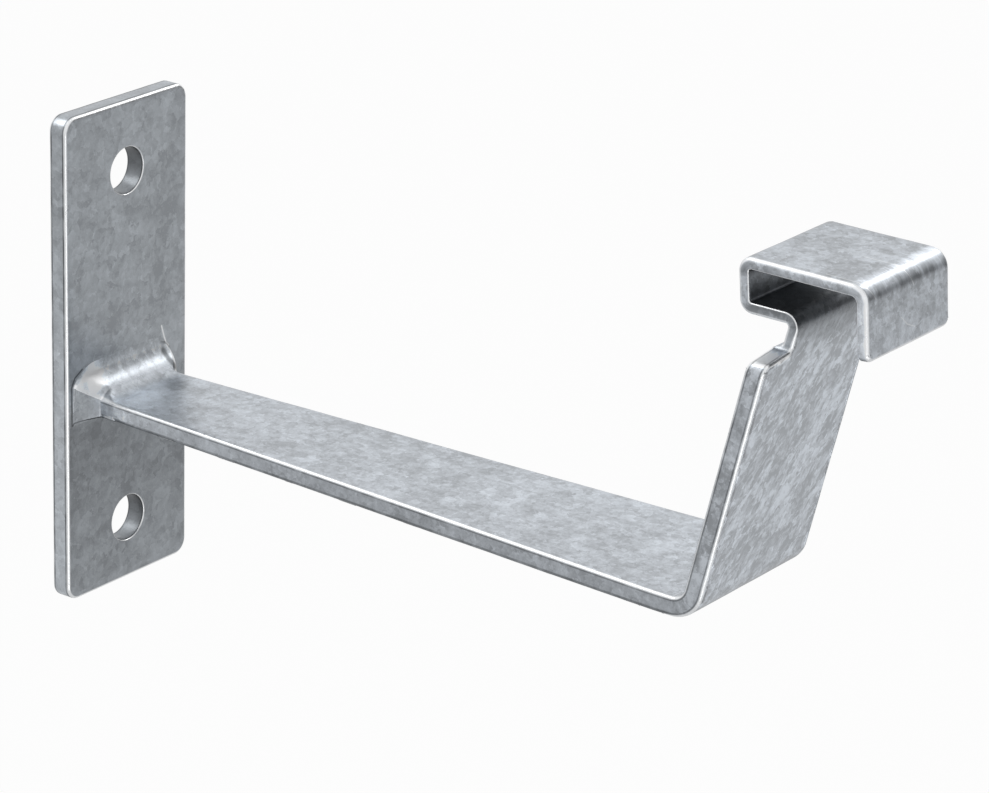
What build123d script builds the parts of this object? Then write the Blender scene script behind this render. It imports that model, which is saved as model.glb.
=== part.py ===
from build123d import *

import os
from math import cos, radians, sin, sqrt, tan

# Gutter bracket: a wall plate, a flat strap welded to it that carries the gutter and ends in
# a folded hook, and the weld between them. Hot-dip galvanised steel, sizes in millimetres.
# The origin is on the back face of the plate, midway between the two fixing holes.
# +X points out of the wall, +Y along the gutter and +Z up.

# Wall plate
PLATE_WIDTH = 40.0
PLATE_THICKNESS = 5.0
PLATE_TOP = 57.0
PLATE_BOTTOM = -55.5
PLATE_CORNER_RADIUS = 3.5
HOLE_DIAMETER = 10.5
HOLE_PITCH = 82.0

# Strap: level arm, bend and leaning upstand
STRAP_THICKNESS = 4.5
STRAP_WIDTH_AT_WALL = 24.0
STRAP_WIDTH = 39.0
SEAT_HEIGHT = -8.2
BEND_REACH = 164.8
BEND_INNER_RADIUS = 3.2
UPSTAND_LEAN = 13.0
TAPER_END_BEFORE_BEND = 4.8
TAPER_BLEND_RADIUS = 120.0

# Notch that narrows the strap to the hook's width on one side
HOOK_WIDTH = 30.3
SHOULDER_HEIGHT = 45.9
SHOULDER_FALL = 1.2
SHOULDER_CORNER_RADIUS = 2.4
NOTCH_CORNER_RADIUS = 0.8

# Hook folded from the thinned end of the strap: its underside is a neck's height above the
# shoulder, and its back wall stands behind the upstand's outer face by the setback
HOOK_THICKNESS = 2.6
NECK_HEIGHT = 5.0
HOOK_HEIGHT = 11.7
HOOK_SETBACK = 14.9
HOOK_LENGTH = 29.5
LIP_DROP = 15.6
WALL_RAKE = 5.3
FOLD_INNER_RADIUS = 0.5
LIP_FOLD_INNER_RADIUS = 1.4
LIP_CORNER_RADIUS = 2.0
NECK_STEP_RADIUS = 1.8

# Weld between the plate and the strap: how far it spreads on the plate, runs along the strap
# and is fused into the strap's surface, and how far along its crests stay soft
WELD_RISE = 7.5
WELD_DROP = 3.0
WELD_SPREAD = 6.2
WELD_RUN_TOP = 7.0
WELD_RUN_SIDE = 4.0
WELD_RUN_BOTTOM = 3.0
WELD_TOE = 0.12
WELD_CORNER_RADIUS = 5.0
WELD_CREST_RUN = 3.0
WELD_FUSION = 0.4

# Softened edges of the plate and the strap, and broken edges of the plate's holes
EDGE_RADIUS = 0.85
HOLE_CHAMFER = 0.4


HOOK_UNDERSIDE = SHOULDER_HEIGHT + NECK_HEIGHT
HOOK_TOP = HOOK_UNDERSIDE + HOOK_HEIGHT
LIP_END = HOOK_TOP - LIP_DROP
TAPER_END = BEND_REACH - TAPER_END_BEFORE_BEND
WELD_RUN = max(WELD_RUN_TOP, WELD_RUN_SIDE, WELD_RUN_BOTTOM)


def upstand_x(height, depth=0.0):
    """X of the upstand's face at a height, a depth behind its outer face."""
    lean = radians(UPSTAND_LEAN)
    outer_radius = BEND_INNER_RADIUS + STRAP_THICKNESS
    bend_centre_height = SEAT_HEIGHT + BEND_INNER_RADIUS
    reach = outer_radius - depth
    foot_x = BEND_REACH + reach * cos(lean)
    foot_height = bend_centre_height - reach * sin(lean)
    return foot_x + (height - foot_height) * tan(lean)


def raked_x(reach, height):
    """X of a raked hook wall at a height, for its reach at the top of the hook."""
    return reach + (HOOK_TOP - height) * tan(radians(WALL_RAKE))


def sharp_edges(solid):
    """Edges whose two faces meet at a clear angle, the ones that get softened."""
    faces = solid.faces()
    sharp = ShapeList()
    for edge in solid.edges():
        middle = edge.position_at(0.5)
        meeting = [face for face in faces if any(edge.is_same(side) for side in face.edges())]
        normals = [face.normal_at(middle) for face in meeting]
        if len(normals) == 2 and normals[0].get_angle(normals[1]) > 25:
            sharp.append(edge)
    return sharp


def make_wall_plate():
    """Flat plate with rounded corners, softened edges and two fixing holes."""
    height = PLATE_TOP - PLATE_BOTTOM
    middle = (PLATE_TOP + PLATE_BOTTOM) / 2
    with BuildPart() as plate:
        with BuildSketch(Plane.YZ):
            with Locations((0, middle)):
                RectangleRounded(PLATE_WIDTH, height, PLATE_CORNER_RADIUS)
        extrude(amount=PLATE_THICKNESS)
        fillet(plate.faces().filter_by(Axis.X).edges(), EDGE_RADIUS)
        with Locations(Plane.YZ):
            with Locations((0, HOLE_PITCH / 2), (0, -HOLE_PITCH / 2)):
                Cylinder(HOLE_DIAMETER / 2, 4 * PLATE_THICKNESS, mode=Mode.SUBTRACT)
        rims = plate.edges().filter_by(GeomType.CIRCLE).filter_by(
            lambda rim: abs(rim.radius - HOLE_DIAMETER / 2) < 1e-3
        )
        chamfer(rims, HOLE_CHAMFER)
    return plate.part


def strap_profile():
    """Side view of the strap: arm, bend, upstand, thinned neck and folded hook."""
    underside = SEAT_HEIGHT - STRAP_THICKNESS
    flange_top = HOOK_UNDERSIDE + HOOK_THICKNESS
    pocket_top = HOOK_TOP - HOOK_THICKNESS
    back_outer = upstand_x(HOOK_UNDERSIDE) - HOOK_SETBACK
    back_inner = back_outer + HOOK_THICKNESS
    front_outer = back_outer + HOOK_LENGTH
    front_inner = front_outer - HOOK_THICKNESS
    outer_fold = FOLD_INNER_RADIUS + HOOK_THICKNESS
    outer_bend = BEND_INNER_RADIUS + STRAP_THICKNESS
    # Each corner is x, height and bend radius, in order round the outline
    corners = [
        (PLATE_THICKNESS, underside, 0),
        (upstand_x(underside), underside, outer_bend),
        (upstand_x(flange_top), flange_top, outer_fold),
        (raked_x(back_inner, flange_top), flange_top, FOLD_INNER_RADIUS),
        (raked_x(back_inner, pocket_top), pocket_top, FOLD_INNER_RADIUS),
        (raked_x(front_inner, pocket_top), pocket_top, LIP_FOLD_INNER_RADIUS),
        (raked_x(front_inner, LIP_END), LIP_END, 0),
        (raked_x(front_outer, LIP_END), LIP_END, 0),
        (raked_x(front_outer, HOOK_TOP), HOOK_TOP, LIP_FOLD_INNER_RADIUS + HOOK_THICKNESS),
        (raked_x(back_outer, HOOK_TOP), HOOK_TOP, outer_fold),
        (raked_x(back_outer, HOOK_UNDERSIDE), HOOK_UNDERSIDE, outer_fold),
        (upstand_x(HOOK_UNDERSIDE, HOOK_THICKNESS), HOOK_UNDERSIDE, FOLD_INNER_RADIUS),
        (upstand_x(SHOULDER_HEIGHT, HOOK_THICKNESS), SHOULDER_HEIGHT, NECK_STEP_RADIUS),
        (upstand_x(SHOULDER_HEIGHT, STRAP_THICKNESS), SHOULDER_HEIGHT, 0),
        (upstand_x(SEAT_HEIGHT, STRAP_THICKNESS), SEAT_HEIGHT, BEND_INNER_RADIUS),
        (PLATE_THICKNESS, SEAT_HEIGHT, 0),
    ]
    outline = Polyline(*[(x, z) for x, z, _ in corners], close=True)
    profile = make_face(outline)
    for x, z, radius in corners:
        if radius:
            corner = profile.vertices().sort_by_distance(Vector(x, z, 0))[0]
            profile = fillet(corner, radius)
    return profile


def strap_plan():
    """Plan outline: the arm widens from the wall to the bend and then keeps its width."""
    near_wall = STRAP_WIDTH_AT_WALL / 2
    full = STRAP_WIDTH / 2
    end = upstand_x(HOOK_TOP) + HOOK_LENGTH
    with BuildSketch() as plan:
        with BuildLine():
            Polyline(
                (PLATE_THICKNESS, -near_wall),
                (TAPER_END, -full),
                (end, -full),
                (end, full),
                (TAPER_END, full),
                (PLATE_THICKNESS, near_wall),
                close=True,
            )
        make_face()
        knees = plan.vertices().filter_by(lambda v: abs(v.X - TAPER_END) < 0.01)
        fillet(knees, TAPER_BLEND_RADIUS)
    return plan.sketch


def notch_cutter():
    """Prism that takes the near side away above the shoulder, down to the hook's width."""
    side = -STRAP_WIDTH / 2
    neck = STRAP_WIDTH / 2 - HOOK_WIDTH
    fall_per_mm = SHOULDER_FALL / (neck - side)
    overrun = 10
    with BuildSketch(Plane.YZ) as outline:
        with BuildLine():
            Polyline(
                (side - overrun, SHOULDER_HEIGHT - SHOULDER_FALL - overrun * fall_per_mm),
                (neck, SHOULDER_HEIGHT),
                (neck, HOOK_TOP + overrun),
                (side - overrun, HOOK_TOP + overrun),
                close=True,
            )
        make_face()
        corner = outline.vertices().sort_by_distance(Vector(0, neck, SHOULDER_HEIGHT))[0]
        fillet(corner, NOTCH_CORNER_RADIUS)
    return extrude(outline.sketch, amount=upstand_x(HOOK_TOP) + HOOK_LENGTH)


def make_hook_strap():
    """One bar: tapered arm, upstand, notch and hook, with softened edges."""
    profile = Plane.XZ * strap_profile()
    bar = extrude(profile, amount=STRAP_WIDTH, both=True)
    plan = Pos(0, 0, SEAT_HEIGHT - 20) * strap_plan()
    bar = bar & extrude(plan, amount=HOOK_TOP - SEAT_HEIGHT + 40)
    bar = bar - notch_cutter()
    low_corner = Vector(upstand_x(SHOULDER_HEIGHT), -STRAP_WIDTH / 2, SHOULDER_HEIGHT - SHOULDER_FALL)
    bar = fillet(bar.edges().filter_by(Axis.X).sort_by_distance(low_corner)[0], SHOULDER_CORNER_RADIUS)
    lip_corners = bar.edges().filter_by(Axis.X).filter_by(
        lambda edge: edge.center().X > upstand_x(LIP_END) + EDGE_RADIUS and abs(edge.center().Z - LIP_END) < 0.01
    )
    bar = fillet(lip_corners, LIP_CORNER_RADIUS)
    free_edges = [e for e in sharp_edges(bar) if e.center().X > PLATE_THICKNESS + EDGE_RADIUS]
    bar = fillet(free_edges, EDGE_RADIUS)
    return split(bar, Plane.YZ.offset(PLATE_THICKNESS + WELD_RUN)) + fused_root()


def fused_root():
    """End of the strap inside the weld, where its surface is melted away."""
    width = STRAP_WIDTH_AT_WALL - 2 * WELD_FUSION
    thickness = STRAP_THICKNESS - 2 * WELD_FUSION
    end_face = Plane.YZ.offset(PLATE_THICKNESS) * Pos(0, SEAT_HEIGHT - STRAP_THICKNESS / 2)
    return extrude(end_face * RectangleRounded(width, thickness, EDGE_RADIUS), amount=WELD_RUN)


def make_root_weld(strap):
    """Concave weld metal lofted from its footprint on the plate down to the strap's surface."""
    stations = 13
    run = WELD_RUN
    underside = SEAT_HEIGHT - STRAP_THICKNESS

    def leg(full_leg, leg_run, along):
        """Height of the concave weld face at a distance along the strap."""
        share = max(0.0, 1 - along / leg_run)
        return WELD_TOE + full_leg * (1 - sqrt(1 - share * share))

    sections = []
    for index in range(stations):
        along = run * (1 - cos(index / (stations - 1) * radians(90)))
        widening = (STRAP_WIDTH - STRAP_WIDTH_AT_WALL) / 2 * along / (TAPER_END - PLATE_THICKNESS)
        half = STRAP_WIDTH_AT_WALL / 2 + widening + leg(WELD_SPREAD, WELD_RUN_SIDE, along)
        top = SEAT_HEIGHT + leg(WELD_RISE, WELD_RUN_TOP, along)
        bottom = underside - leg(WELD_DROP, WELD_RUN_BOTTOM, along)
        middle = (top + bottom) / 2
        corner = min(WELD_CORNER_RADIUS, (top - bottom) / 2 - 0.3)
        corner = EDGE_RADIUS + (corner - EDGE_RADIUS) * max(0.0, 1 - along / WELD_CREST_RUN) ** 2
        plane = Plane.YZ.offset(PLATE_THICKNESS + along)
        sections.append(plane * Pos(0, middle) * RectangleRounded(2 * half, top - bottom, corner))
    return loft(sections, ruled=True) - strap


def write(shape, node):
    """Export one sub-part under its node name."""
    shape.label = node
    export_step(shape, f"parts/{node}.step")


def main():
    os.makedirs("parts", exist_ok=True)
    strap = make_hook_strap()
    write(make_wall_plate(), "wall_plate")
    write(strap, "hook_strap")
    write(make_root_weld(strap), "root_weld")


main()
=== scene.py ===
"""Zinc-coated gutter bracket: drilled wall plate, folded hook strap and the weld between them."""

import logging
import math
from dataclasses import dataclass
from enum import Enum
from functools import reduce
from typing import Callable, Sequence

import bpy
import numpy as np
from bpy.types import ID, Material, Mesh, Node, NodeSocket, NodeTree, Object
from mathutils import Matrix, Vector
from mathutils.geometry import delaunay_2d_cdt


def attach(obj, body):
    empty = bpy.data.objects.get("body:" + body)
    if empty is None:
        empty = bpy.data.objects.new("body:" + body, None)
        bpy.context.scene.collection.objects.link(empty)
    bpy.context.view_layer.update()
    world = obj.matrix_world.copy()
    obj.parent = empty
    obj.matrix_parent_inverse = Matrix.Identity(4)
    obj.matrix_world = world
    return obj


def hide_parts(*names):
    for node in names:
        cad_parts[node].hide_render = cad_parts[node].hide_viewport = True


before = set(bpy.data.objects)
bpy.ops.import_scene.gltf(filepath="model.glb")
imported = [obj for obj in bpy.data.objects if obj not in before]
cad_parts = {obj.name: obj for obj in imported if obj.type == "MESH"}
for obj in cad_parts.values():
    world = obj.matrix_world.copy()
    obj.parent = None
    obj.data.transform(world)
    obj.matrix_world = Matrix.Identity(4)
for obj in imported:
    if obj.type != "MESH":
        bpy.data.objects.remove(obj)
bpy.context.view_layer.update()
log = logging.getLogger("gutter_bracket")

MM = 0.001
GRAIN_ORIGIN = (5.0, 0.0, -12.7)
FLOAT, VECTOR, GEOMETRY = "NodeSocketFloat", "NodeSocketVector", "NodeSocketGeometry"

# Values of the attribute ROUND: up to 1 over a rounded rim, then a plain side, then a face with no rim
PLAIN_SIDE = 1.05
NO_RIM = 1.6

Stops = tuple[tuple[float, float], ...]
Points = Callable[[np.ndarray], np.ndarray]


class Attr(Enum):
    """Point attributes that the pieces carry for their folds and finishes."""

    STATION = "station"
    ROUND = "round"
    GRAIN = "grain"
    # SHADE holds painted light and shade: a share of the full brightness that scales a piece's colour
    SHADE = "shade"


class Turn(Enum):
    """Way a fold turns the bar, seen with the wall at the left."""

    UP = 1.0
    DOWN = -1.0


@dataclass(frozen=True)
class Corner:
    """Corner of an outline in millimetres, with the radius of its bend."""

    x: float
    y: float
    radius: float = 0.0


@dataclass(frozen=True)
class Fold:
    """One fold of the strap: where it starts on the flat bar, its turn and its radius."""

    name: str
    start: float
    angle: float
    radius: float
    turn: Turn

    @property
    def length(self) -> float:
        """Length of flat bar that the fold takes up, in millimetres."""
        return self.angle * self.radius

    @property
    def end(self) -> float:
        """Station where the fold ends, in millimetres."""
        return self.start + self.length

    def inputs(self) -> dict[str, float]:
        """Value of each input of the group that folds the bar, in metres and radians."""
        radius = self.radius * MM
        return {"Start": self.start * MM, "Angle": self.angle, "Radius": radius, "Turn": self.turn.value}


def between(x: np.ndarray, stops: Stops) -> np.ndarray:
    """Value at each x of the line that joins the stops (x, value)."""
    return np.interp(x, *zip(*stops))


def left(along: float, run: float) -> float:
    """Share of a run that is left at a distance along it."""
    return max(0.0, 1 - along / run)


def corner_arc(before: Corner, here: Corner, after: Corner, step: float) -> list[tuple[float, float]]:
    """Points of a rounded corner.

    Args:
        before: the corner in front of it.
        here: the corner to round.
        after: the corner behind it.
        step: largest angle between two points, in radians.

    Returns:
        The points of the arc, or the corner itself where it has no radius.
    """
    point = np.array([here.x, here.y])
    if here.radius <= 0:
        return [tuple(point)]
    a = np.array([before.x, before.y]) - point
    b = np.array([after.x, after.y]) - point
    a, b = a / np.linalg.norm(a), b / np.linalg.norm(b)
    half = math.acos(float(np.clip(a @ b, -1, 1))) / 2
    middle = (a + b) / np.linalg.norm(a + b)
    centre = point + middle * here.radius / math.sin(half)
    first = point + a * here.radius / math.tan(half) - centre
    sweep = math.pi - 2 * half
    if a[0] * b[1] - a[1] * b[0] > 0:
        sweep = -sweep
    count = max(3, math.ceil(abs(sweep) / step))
    turned = [(math.cos(sweep * k / count), math.sin(sweep * k / count)) for k in range(count + 1)]
    spun = [np.array([first[0] * c - first[1] * s, first[0] * s + first[1] * c]) for c, s in turned]
    return [tuple(centre + offset) for offset in spun]


def rounded_loop(corners: Sequence[Corner], step: float = math.radians(9)) -> np.ndarray:
    """Closed outline with its corners rounded, anticlockwise.

    Args:
        corners: the outline's corners in order.
        step: largest angle between two points of an arc, in radians.

    Returns:
        The outline's points in millimetres, one row each.
    """
    points: list[tuple[float, float]] = []
    for k, here in enumerate(corners):
        points += corner_arc(corners[k - 1], here, corners[(k + 1) % len(corners)], step)
    return np.array(points)


def divided(loop: np.ndarray, spacing: float, stations: np.ndarray) -> np.ndarray:
    """Outline with points added at every station that it crosses and along its other runs.

    Args:
        loop: closed outline.
        spacing: largest distance between points on a run across the bar.
        stations: distances along the bar where each edge gets a point.

    Returns:
        The divided outline.
    """
    out: list[np.ndarray] = []
    least, nothing = 0.02, 1e-6
    for a, b in zip(loop, np.roll(loop, -1, axis=0)):
        run = b - a
        length = float(np.linalg.norm(run))
        if length < nothing:
            continue
        shares = [0.0]
        if abs(run[0]) > 0.5 * length:
            low, high = min(a[0], b[0]) + least, max(a[0], b[0]) - least
            crossed = stations[(stations > low) & (stations < high)]
            shares += sorted(float(s) for s in (crossed - a[0]) / run[0])
        else:
            count = max(1, math.ceil(length / spacing))
            shares += [k / count for k in range(1, count)]
        out += [a + run * share for share in shares]
    return np.array(out)


def inward_normals(loop: np.ndarray) -> np.ndarray:
    """Unit normal of a closed loop at each of its points, to the left of its run.

    Args:
        loop: the loop's points.

    Returns:
        One unit vector a point.
    """
    ahead = np.roll(loop, -1, axis=0) - loop
    ahead /= np.linalg.norm(ahead, axis=1, keepdims=True)
    behind = np.roll(ahead, 1, axis=0)
    tangent = ahead + behind
    tangent /= np.linalg.norm(tangent, axis=1, keepdims=True)
    return np.stack([-tangent[:, 1], tangent[:, 0]], axis=1)


def inside(points: np.ndarray, loop: np.ndarray) -> np.ndarray:
    """Tests which points lie inside a closed loop.

    Args:
        points: points to test.
        loop: the loop's points.

    Returns:
        True for each point inside.
    """
    a, b = loop, np.roll(loop, -1, axis=0)
    hit = np.zeros(len(points), bool)
    for (x0, y0), (x1, y1) in zip(a, b):
        if y0 == y1:
            continue
        spans = (points[:, 1] < y0) != (points[:, 1] < y1)
        hit ^= spans & (points[:, 0] < x0 + (points[:, 1] - y0) * (x1 - x0) / (y1 - y0))
    return hit


def clear_of(points: np.ndarray, loop: np.ndarray, gap: float) -> np.ndarray:
    """Tests which points stay a gap away from a loop's own points.

    Args:
        points: points to test.
        loop: the loop's points.
        gap: least distance.

    Returns:
        True for each point that is clear.
    """
    near = np.full(len(points), np.inf)
    for p in loop:
        near = np.minimum(near, (points[:, 0] - p[0]) ** 2 + (points[:, 1] - p[1]) ** 2)
    return near > gap * gap


@dataclass
class SheetLoop:
    """Closed edge of a sheet and the radius that its rim is rounded with at each point.

    The lower face's rim can have a smaller radius, and where the given share is one its painted
    highlight gives way to the painted dark line.
    """

    points: np.ndarray
    rounding: np.ndarray
    under: np.ndarray | None = None
    shaded_rim: np.ndarray | None = None


@dataclass
class Sheet:
    """Flat piece of metal with rounded rims, meshed evenly enough to be folded and dented.

    The first loop is the outline, anticlockwise, and the others are holes, clockwise.
    """

    loops: list[SheetLoop]
    thickness: Points
    columns: np.ndarray
    rows: np.ndarray
    rim_steps: int = 5
    rim_gap: float = 0.3
    same_point: float = 1e-7

    def faces_plan(self) -> tuple[np.ndarray, list[list[int]], list[np.ndarray]]:
        """Triangulates the flat face inside the rounded rims.

        Returns:
            Plan points, triangles and, for each loop, the index of each of its points.
        """
        insets = [loop.points + inward_normals(loop.points) * loop.rounding[:, None] for loop in self.loops]
        grid = np.array([(x, y) for x in self.columns for y in self.rows])
        keep = inside(grid, insets[0])
        for hole in insets[1:]:
            keep &= ~inside(grid, hole)
        grid = grid[keep]
        gap = self.rim_gap * float(np.median(np.diff(self.rows)))
        for inset in insets:
            grid = grid[clear_of(grid, inset, gap)]
        points = np.concatenate(insets + [grid])
        edges: list[tuple[int, int]] = []
        rings: list[np.ndarray] = []
        first = 0
        for inset in insets:
            ring = np.arange(first, first + len(inset))
            edges += list(zip(ring.tolist(), np.roll(ring, -1).tolist()))
            rings.append(ring)
            first += len(inset)
        plan = [Vector((float(x), float(y))) for x, y in points]
        verts, _, faces, origin, _, _ = delaunay_2d_cdt(plan, edges, [], 1, self.same_point)
        where = np.zeros(len(points), int)
        for k, sources in enumerate(origin):
            where[sources] = k
        out = np.array([tuple(v) for v in verts])
        middles = np.array([out[list(f)].mean(axis=0) for f in faces])
        solid = np.ones(len(faces), bool)
        for hole in insets[1:]:
            solid &= ~inside(middles, hole)
        kept = [list(f) for f, ok in zip(faces, solid) if ok]
        return out, kept, [where[ring] for ring in rings]

    def mesh(self, name: str, place: Points, shade: Points, grain: Points) -> Mesh:
        """Closed mesh of the sheet, in metres.

        Args:
            name: the mesh's name.
            place: puts flat points (along, across, up, in millimetres) into the row frame.
            shade: painted light and shade, as a share of the full brightness at flat points.
            grain: where flat points lie in the pattern of the coating, in millimetres.

        Returns:
            The mesh, with its point attributes.
        """
        plan, tris, rings = self.faces_plan()
        tall = self.thickness(plan[:, 0])
        count = len(plan)
        bottom = np.column_stack([plan, np.zeros(count)])
        top = np.column_stack([plan, tall])
        points = [bottom, top]
        around = [np.zeros(2 * count)]
        faces = [[f[0], f[2], f[1]] for f in tris] + [[v + count for v in f] for f in tris]
        total = 2 * count
        for loop, ring in zip(self.loops, rings):
            normal = inward_normals(loop.points)
            tops = tall[ring]
            size = len(ring)
            above = loop.rounding
            under = above if loop.under is None else loop.under
            shaded_rim = np.zeros(size) if loop.shaded_rim is None else loop.shaded_rim
            layers = [ring]
            shares = [k / self.rim_steps for k in range(self.rim_steps + 1)]
            turned = [(math.radians(90) * share, share) for share in shares]
            arc = [(1 - math.sin(angle), 1 - math.cos(angle), share) for angle, share in turned]
            lower = [(under * inset, under * rise, k + (PLAIN_SIDE - k) * shaded_rim) for inset, rise, k in arc]
            middle = (np.zeros(size), tops / 2, 1 + tops / 2 - above)
            upper = [(above * inset, tops - above * rise, k) for inset, rise, k in arc]
            skipped = 1 if loop.under is None else 0
            for offset, height, share in lower[skipped:] + [middle] + upper[:0:-1]:
                points.append(np.column_stack([loop.points + normal * offset[:, None], height]))
                around.append(np.broadcast_to(share, size))
                layers.append(np.arange(total, total + size))
                total += size
            layers.append(ring + count)
            for low, high in zip(layers, layers[1:]):
                for k in range(size):
                    after = (k + 1) % size
                    faces.append([int(low[k]), int(low[after]), int(high[after]), int(high[k])])
        flat = np.concatenate(points)
        mesh = bpy.data.meshes.new(name)
        mesh.from_pydata((place(flat) * MM).tolist(), [], faces)
        store(mesh, Attr.STATION, flat[:, 0] * MM)
        store(mesh, Attr.ROUND, np.concatenate(around))
        store(mesh, Attr.GRAIN, grain(flat) * MM)
        store(mesh, Attr.SHADE, shade(flat))
        mesh.validate()
        return mesh


def store(mesh: Mesh, attr: Attr, values: np.ndarray) -> None:
    """Writes a point attribute.

    Args:
        mesh: the mesh that gets it.
        attr: which attribute.
        values: one number or one vector a vertex.
    """
    kind, field = ("FLOAT", "value") if values.ndim == 1 else ("FLOAT_VECTOR", "vector")
    layer = mesh.attributes.new(attr.value, kind, "POINT")
    layer.data.foreach_set(field, values.astype(np.float32).ravel())


def linked(name: str, data: ID) -> Object:
    """Puts a new object in the scene.

    Args:
        name: the object's name.
        data: its mesh, light or camera.

    Returns:
        The object.
    """
    made = bpy.data.objects.new(name, data)
    bpy.context.scene.collection.objects.link(made)
    return made


class NodeMaker:
    """Adds nodes to a tree and joins them, to keep the trees below readable."""

    def __init__(self, tree: NodeTree) -> None:
        """Keeps the tree and empties it."""
        self.tree = tree
        tree.nodes.clear()

    def add(self, kind: str, values: dict[str | int, object] | None = None, **settings: object) -> Node:
        """Adds one node.

        Args:
            kind: the node's type name.
            values: what each input gets: a socket to join to it, or a value.
            settings: the node's own properties.

        Returns:
            The node.
        """
        node = self.tree.nodes.new(kind)
        for key, value in settings.items():
            setattr(node, key, value)
        for key, value in (values or {}).items():
            if isinstance(value, NodeSocket):
                self.tree.links.new(value, node.inputs[key])
            else:
                node.inputs[key].default_value = value
        return node

    def math(self, operation: str, *values: object) -> NodeSocket:
        """Result of a Math node with these inputs."""
        return self.add("ShaderNodeMath", dict(enumerate(values)), operation=operation).outputs[0]

    def total(self, parts: Sequence[NodeSocket], operation: str = "ADD") -> NodeSocket:
        """Result of a Math operation on all the parts in turn."""
        return reduce(lambda sum_so_far, part: self.math(operation, sum_so_far, part), parts)

    def vector(self, operation: str, *values: object) -> NodeSocket:
        """Vector result of a Vector Math node with these inputs."""
        return self.add("ShaderNodeVectorMath", dict(enumerate(values)), operation=operation).outputs[0]

    def measure(self, operation: str, *values: object) -> NodeSocket:
        """Number that a Vector Math node gives for these inputs."""
        return self.add("ShaderNodeVectorMath", dict(enumerate(values)), operation=operation).outputs["Value"]

    def scaled(self, vector: object, factor: object) -> NodeSocket:
        """Vector multiplied by a number."""
        return self.add("ShaderNodeVectorMath", {0: vector, "Scale": factor}, operation="SCALE").outputs[0]

    def axis(self, vector: object, name: str) -> NodeSocket:
        """One coordinate of a vector: X, Y or Z."""
        return self.add("ShaderNodeSeparateXYZ", {0: vector}).outputs[name]

    def clamped(self, value: object) -> NodeSocket:
        """Number kept between zero and one."""
        return self.add("ShaderNodeClamp", {"Value": value}).outputs[0]

    def noise(self, where: object, scale: object, **values: object) -> Node:
        """Noise Texture; values are its further inputs."""
        return self.add("ShaderNodeTexNoise", {"Vector": where, "Scale": scale} | values)

    def attribute(self, attr: Attr) -> Node:
        """Attribute node that reads a piece's own point attribute."""
        return self.add("ShaderNodeAttribute", attribute_name=attr.value)

    def group(self, name: str, values: dict[str | int, object]) -> Node:
        """Places a node group, with a value or a socket for each of its inputs."""
        tree = bpy.data.node_groups[name]
        return self.add(tree.bl_idname.replace("Tree", "Group"), values, node_tree=tree)

    def ramp(
        self, value: object, low: float, high: float, start: float = 0.0, end: float = 1.0
    ) -> NodeSocket:
        """Adds a smooth, clamped change from one number to another.

        Args:
            value: what drives it.
            low: value at which it starts.
            high: value at which it ends.
            start: result up to the low value.
            end: result from the high value on.

        Returns:
            The result.
        """
        if low > high:
            low, high, start, end = high, low, end, start
        given = {"Value": value, "From Min": low, "From Max": high, "To Min": start, "To Max": end}
        return self.add("ShaderNodeMapRange", given, interpolation_type="SMOOTHSTEP").outputs[0]

    def blend(self, share: object, first: object, second: object) -> NodeSocket:
        """Mix of two colours, with a share of the second."""
        return self.add("ShaderNodeMix", {0: share, 6: first, 7: second}, data_type="RGBA").outputs[2]


def new_tree(
    name: str, kind: str, inputs: dict[str, tuple[str, object]], outputs: dict[str, str]
) -> NodeMaker:
    """Starts a node group.

    Args:
        name: the group's name.
        kind: GeometryNodeTree or ShaderNodeTree.
        inputs: socket name to its type and default value.
        outputs: socket name to its type.

    Returns:
        A maker for its nodes.
    """
    tree = bpy.data.node_groups.new(name, kind)
    for socket, (socket_type, value) in inputs.items():
        made = tree.interface.new_socket(name=socket, in_out="INPUT", socket_type=socket_type)
        if value is not None:
            made.default_value = value
    for socket, socket_type in outputs.items():
        tree.interface.new_socket(name=socket, in_out="OUTPUT", socket_type=socket_type)
    return NodeMaker(tree)


def geometry_tree(name: str, inputs: dict[str, float]) -> NodeMaker:
    """Starts a geometry group that takes and gives geometry.

    Args:
        name: the group's name.
        inputs: name and default value of each further input.

    Returns:
        A maker for its nodes.
    """
    sockets = {"Geometry": (GEOMETRY, None)} | {key: (FLOAT, value) for key, value in inputs.items()}
    return new_tree(name, "GeometryNodeTree", sockets, {"Geometry": GEOMETRY})


def fold_group() -> None:
    """Makes the geometry group that folds a flat bar past a station, about a line across it."""
    made = geometry_tree("press_fold", {"Start": 0.0, "Angle": 1.0, "Radius": 0.003, "Turn": 1.0})
    given = made.add("NodeGroupInput").outputs
    length = made.math("MULTIPLY", given["Angle"], given["Radius"])
    end = made.math("ADD", given["Start"], length)
    named = {"Name": Attr.STATION.value}
    station = made.add("GeometryNodeInputNamedAttribute", named, data_type="FLOAT").outputs[0]
    span = {"Value": station, "From Min": given["Start"], "From Max": end}
    share = made.add("ShaderNodeMapRange", span, clamp=True).outputs[0]
    taken = made.add("ShaderNodeCombineXYZ", {0: made.math("MULTIPLY", length, share)}).outputs[0]
    height = made.math("MULTIPLY", given["Radius"], given["Turn"])
    centre = made.add("ShaderNodeCombineXYZ", {0: given["Start"], 2: height}).outputs[0]
    turned = made.math("MULTIPLY", made.math("MULTIPLY", given["Angle"], share), given["Turn"])
    position = made.add("GeometryNodeInputPosition").outputs[0]
    rotation = {
        "Vector": made.vector("SUBTRACT", position, taken),
        "Center": centre,
        "Axis": (0.0, 1.0, 0.0),
        "Angle": made.math("MULTIPLY", turned, -1.0),
    }
    rotated = made.add("ShaderNodeVectorRotate", rotation, rotation_type="AXIS_ANGLE").outputs[0]
    moved = made.add("GeometryNodeSetPosition", {"Geometry": given["Geometry"], "Position": rotated})
    made.add("NodeGroupOutput", {"Geometry": moved.outputs[0]})


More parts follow.
